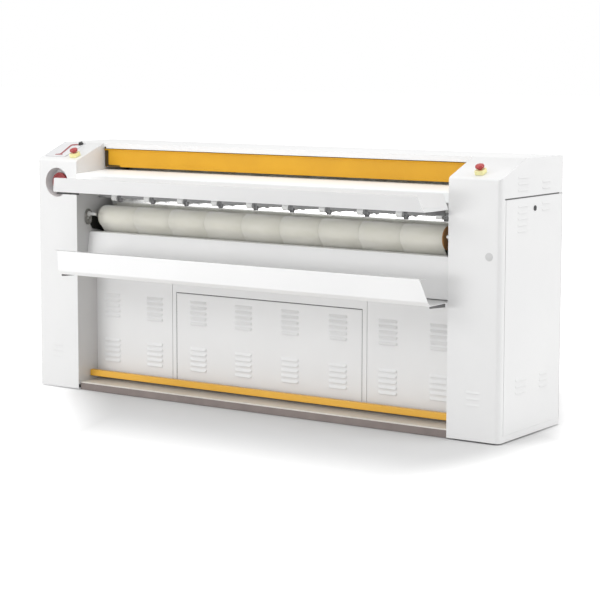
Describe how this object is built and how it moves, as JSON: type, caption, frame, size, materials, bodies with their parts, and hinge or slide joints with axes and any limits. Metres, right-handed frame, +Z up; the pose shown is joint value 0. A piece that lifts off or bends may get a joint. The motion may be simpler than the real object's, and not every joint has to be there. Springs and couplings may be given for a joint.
{
  "type": "flatwork ironer",
  "caption": "Wall-type flatwork ironer with a heated cylinder and belts, fed at the upper table and returning ironed linen to the lower front tray.",
  "frame": {"origin": "on the floor under the middle of the machine's bounding box", "axes": "+X along the machine to its right end as seen from the front, +Y from front to back, +Z up"},
  "size_m": [2.614, 0.846, 1.2145],
  "materials": {
    "white_paint": "satin powder coat",
    "orange_paint": "satin powder coat",
    "base_grey": "satin powder coat",
    "black_plastic": "semi-gloss",
    "foot_rubber": "matt",
    "cast_grey": "painted casting",
    "polished_steel": "polished",
    "roller_steel": "turned",
    "zinc_steel": "zinc plated",
    "belt_felt": "woven needle felt",
    "finger_white": "smooth",
    "panel_grey": "satin",
    "red_plastic": "gloss",
    "yellow_plastic": "semi-gloss"
  },
  "bodies": {
    "machine": {"left_column_casing": "white_paint", "right_column_casing": "white_paint", "left_side_plate": "white_paint", "right_side_plate": "white_paint", "lower_panel_left": "white_paint", "lower_panel_right": "white_paint", "door_frame": "white_paint", "upper_tray": "white_paint", "lower_tray": "white_paint", "feed_table": "white_paint", "apron": "white_paint", "top_cover": "white_paint", "rear_panel": "white_paint", "base_tray": "base_grey", "cable_gland": "black_plastic", "foot_left_front": "foot_rubber", "foot_left_rear": "foot_rubber", "foot_right_front": "foot_rubber", "foot_right_rear": "foot_rubber", "front_cross_tube": "cast_grey", "rear_cross_tube": "cast_grey", "cylinder_bearing_left": "cast_grey", "cylinder_bearing_right": "cast_grey", "gear_motor": "cast_grey", "heater_bank": "roller_steel", "drive_chain": "zinc_steel", "exhaust_fan_housing": "zinc_steel", "belt_1": "belt_felt", "belt_2": "belt_felt", "belt_3": "belt_felt", "belt_4": "belt_felt", "belt_5": "belt_felt", "belt_6": "belt_felt", "belt_7": "belt_felt", "belt_8": "belt_felt", "belt_9": "belt_felt", "electrical_box": "panel_grey", "control_panel": "panel_grey", "estop_base_left": "yellow_plastic", "estop_base_right": "yellow_plastic"},
    "cylinder": {"heated_cylinder": "polished_steel", "cylinder_sprocket": "zinc_steel"},
    "front_roller": {"front_roller": "roller_steel"},
    "top_roller": {"top_roller": "roller_steel"},
    "rear_roller": {"rear_roller": "roller_steel"},
    "tension_roller": {"tension_roller": "roller_steel"},
    "motor_sprocket": {"motor_sprocket": "zinc_steel"},
    "fan_wheel": {"fan_wheel": "zinc_steel"},
    "hand_wheel": {"hand_wheel": "red_plastic"},
    "finger_guard": {"finger_guard": "orange_paint"},
    "foot_bar": {"foot_bar": "orange_paint"},
    "stripper_bar": {"stripper_bar": "finger_white"},
    "access_door": {"access_door": "white_paint"},
    "left_side_door": {"left_side_door": "white_paint"},
    "right_side_door": {"right_side_door": "white_paint"},
    "left_door_lock": {"left_door_lock": "black_plastic"},
    "right_door_lock": {"right_door_lock": "black_plastic"},
    "estop_button_left": {"estop_button_left": "red_plastic"},
    "estop_button_right": {"estop_button_right": "red_plastic"},
    "selector_knob": {"selector_knob": "black_plastic"}
  },
  "joints": [
    {"name": "cylinder_spin", "type": "hinge", "parent": "machine", "child": "cylinder", "pos_m": [0, 0.1744, 0.93], "axis": [1, 0, 0], "continuous": true},
    {"name": "front_roller_spin", "type": "hinge", "parent": "machine", "child": "front_roller", "pos_m": [0, -0.02203, 0.85], "axis": [1, 0, 0], "continuous": true},
    {"name": "top_roller_spin", "type": "hinge", "parent": "machine", "child": "top_roller", "pos_m": [0, 0.095, 1.14], "axis": [1, 0, 0], "continuous": true},
    {"name": "rear_roller_spin", "type": "hinge", "parent": "machine", "child": "rear_roller", "pos_m": [0, 0.317, 1.128], "axis": [1, 0, 0], "continuous": true},
    {"name": "tension_roller_spin", "type": "hinge", "parent": "machine", "child": "tension_roller", "pos_m": [0, 0.317, 0.39], "axis": [1, 0, 0], "continuous": true},
    {"name": "motor_sprocket_spin", "type": "hinge", "parent": "machine", "child": "motor_sprocket", "pos_m": [0, 0.135, 0.56], "axis": [1, 0, 0], "continuous": true},
    {"name": "fan_spin", "type": "hinge", "parent": "machine", "child": "fan_wheel", "pos_m": [0, 0.235, 0.3], "axis": [1, 0, 0], "continuous": true},
    {"name": "hand_wheel_turn", "type": "hinge", "parent": "machine", "child": "hand_wheel", "pos_m": [-1.172, -0.169, 1.02], "axis": [0, 1, 0], "continuous": true},
    {"name": "finger_guard_swing", "type": "hinge", "parent": "machine", "child": "finger_guard", "pos_m": [0, 0.022, 1.176], "axis": [1, 0, 0], "range_deg": [0, 8]},
    {"name": "foot_bar_press", "type": "hinge", "parent": "machine", "child": "foot_bar", "pos_m": [0, -0.069, 0.0755], "axis": [1, 0, 0], "range_deg": [0, 10], "stiffness_Nm_per_rad": 30, "springref_deg": -8.59},
    {"name": "stripper_lift", "type": "hinge", "parent": "machine", "child": "stripper_bar", "pos_m": [0, -0.02203, 0.95], "axis": [-1, 0, 0], "range_deg": [0, 15], "stiffness_Nm_per_rad": 20, "springref_deg": -8.59},
    {"name": "access_door_tilt", "type": "hinge", "parent": "machine", "child": "access_door", "pos_m": [0, -0.051, 0.084], "axis": [1, 0, 0], "range_deg": [0, 60]},
    {"name": "left_side_door_tilt", "type": "hinge", "parent": "machine", "child": "left_side_door", "pos_m": [-1.3, 0, 0.034], "axis": [0, -1, 0], "range_deg": [0, 25]},
    {"name": "right_side_door_tilt", "type": "hinge", "parent": "machine", "child": "right_side_door", "pos_m": [1.3, 0, 0.034], "axis": [0, 1, 0], "range_deg": [0, 25]},
    {"name": "left_lock_turn", "type": "hinge", "parent": "left_side_door", "child": "left_door_lock", "pos_m": [-1.3, 0.103, 0.991], "axis": [1, 0, 0], "range_deg": [0, 90]},
    {"name": "right_lock_turn", "type": "hinge", "parent": "right_side_door", "child": "right_door_lock", "pos_m": [1.3, 0.103, 0.991], "axis": [1, 0, 0], "range_deg": [0, 90]},
    {"name": "estop_left_press", "type": "slide", "parent": "machine", "child": "estop_button_left", "axis": [0, 0.3551, -0.9348], "range_m": [0, 0.005], "stiffness_N_per_m": 900, "springref_m": -0.002},
    {"name": "estop_right_press", "type": "slide", "parent": "machine", "child": "estop_button_right", "axis": [0, 0.3551, -0.9348], "range_m": [0, 0.005], "stiffness_N_per_m": 900, "springref_m": -0.002},
    {"name": "selector_turn", "type": "hinge", "parent": "machine", "child": "selector_knob", "pos_m": [-1.162, -0.02112, 1.19504], "axis": [0, -0.3551, 0.9348], "range_deg": [-135, 135]}
  ],
  "couplings": [
    {"joint": "front_roller_spin", "follows": "cylinder_spin", "ratio": -2.5321},
    {"joint": "top_roller_spin", "follows": "cylinder_spin", "ratio": -4.4655},
    {"joint": "rear_roller_spin", "follows": "cylinder_spin", "ratio": -4.4655},
    {"joint": "tension_roller_spin", "follows": "cylinder_spin", "ratio": -4.4655},
    {"joint": "motor_sprocket_spin", "follows": "cylinder_spin", "ratio": 3}
  ]
}
